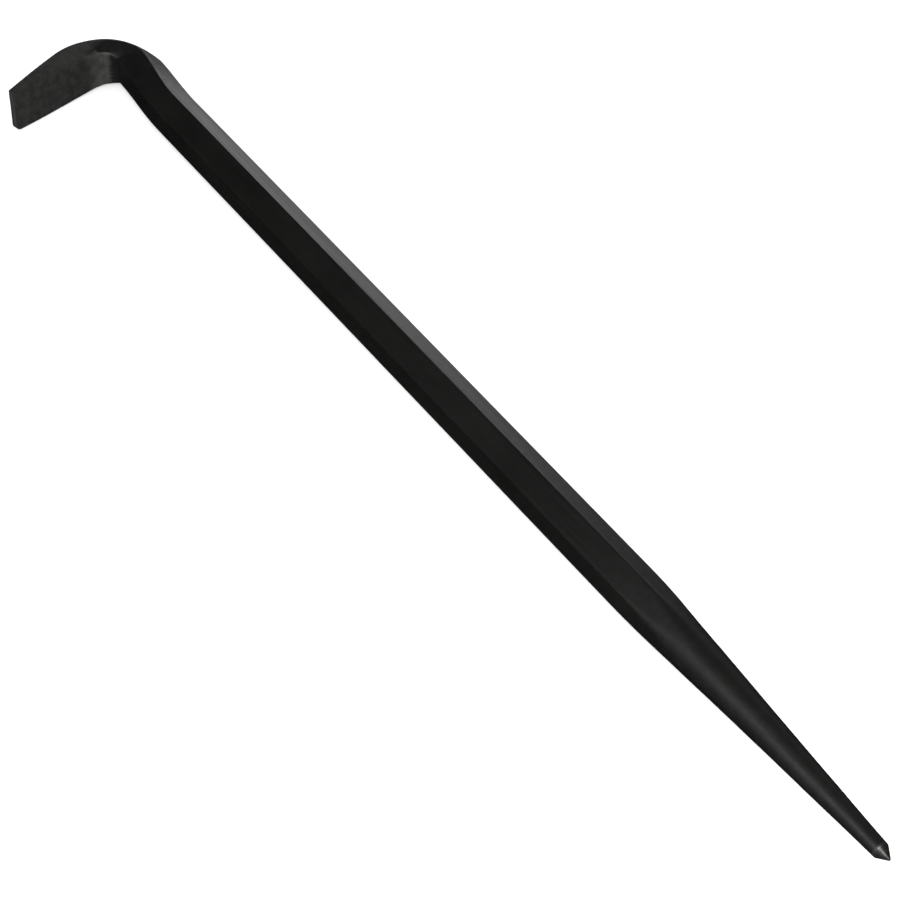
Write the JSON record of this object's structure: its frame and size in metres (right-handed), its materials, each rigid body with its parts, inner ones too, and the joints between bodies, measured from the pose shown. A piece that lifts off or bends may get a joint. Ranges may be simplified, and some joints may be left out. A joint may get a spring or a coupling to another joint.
{
  "type": "rolling-head pry bar",
  "caption": "Hexagonal steel pry bar with a hooked chisel blade at one end and a round taper with a short ground point at the other, in a black finish.",
  "frame": {"origin": "middle of the underside of the bounding box, with the bar lying on its side", "axes": "+X along the shank towards the ground point, the blade turns towards -Y, +Z is the axis of the bend and square to the plane that the shank and the blade lie in"},
  "size_m": [0.4064, 0.0502, 0.0154],
  "materials": {
    "black_steel": "satin black heat-treated finish on forged steel, worn slightly bright at the ground point"
  },
  "bodies": {
    "root": {"pry_bar": "black_steel"}
  },
  "joints": []
}
